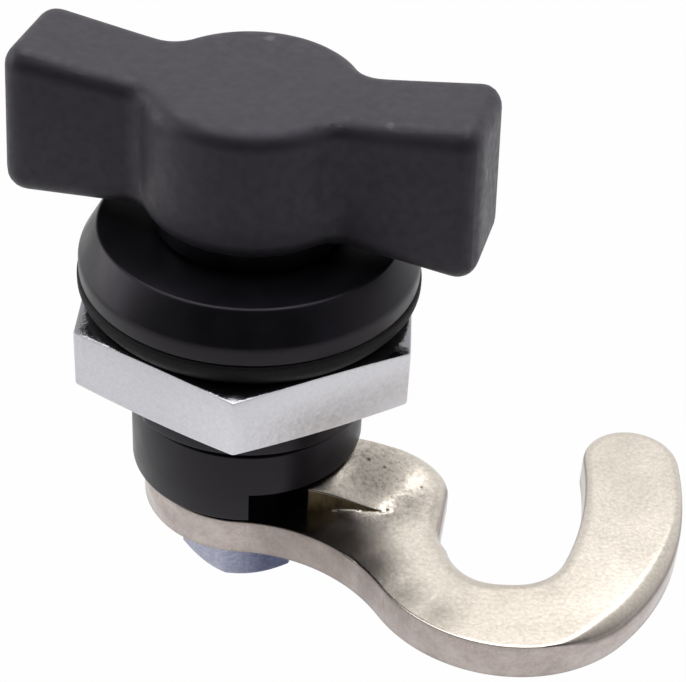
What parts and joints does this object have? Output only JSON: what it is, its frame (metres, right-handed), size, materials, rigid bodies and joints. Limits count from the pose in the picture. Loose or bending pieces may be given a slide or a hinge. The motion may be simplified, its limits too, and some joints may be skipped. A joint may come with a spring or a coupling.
{
  "type": "quarter-turn hook latch",
  "caption": "Wing-knob quarter-turn latch: a sealed threaded housing clamps in a panel with a hex nut, and a hooked cam under it swings round a keeper.",
  "frame": {"origin": "on the turning axis, at the underside of the housing's flange", "axes": "+Z along the turning axis towards the knob; X square to the two flats on the housing's thread"},
  "size_m": [0.0549, 0.0447, 0.0489],
  "materials": {
    "knob_plastic": "fine moulded grain, dark grey",
    "housing_black": "semi-gloss black",
    "gasket_rubber": "matt black",
    "seal_rubber": "matt black",
    "nut_zinc": "satin zinc plate, faintly mottled",
    "cam_nickel": "satin nickel plate with a fine grain",
    "bolt_zinc": "blue-white zinc plate",
    "spindle_steel": "turned, plain"
  },
  "bodies": {
    "housing_body": {"housing": "housing_black", "gasket": "gasket_rubber"},
    "rotor": {"wing_knob": "knob_plastic", "spindle": "spindle_steel", "spindle_seal": "seal_rubber", "hook_cam": "cam_nickel", "flat_washer": "bolt_zinc", "spring_washer": "bolt_zinc", "cam_bolt": "bolt_zinc"},
    "nut": {"hex_nut": "nut_zinc"}
  },
  "joints": [
    {"name": "handle_turn", "type": "hinge", "parent": "housing_body", "child": "rotor", "pos_m": [0, 0, 0], "axis": [0, 0, 1], "range_deg": [-30, 60]},
    {"name": "nut_travel", "type": "slide", "parent": "housing_body", "child": "nut", "axis": [0, 0, -1], "range_m": [0, 0.0038]}
  ]
}
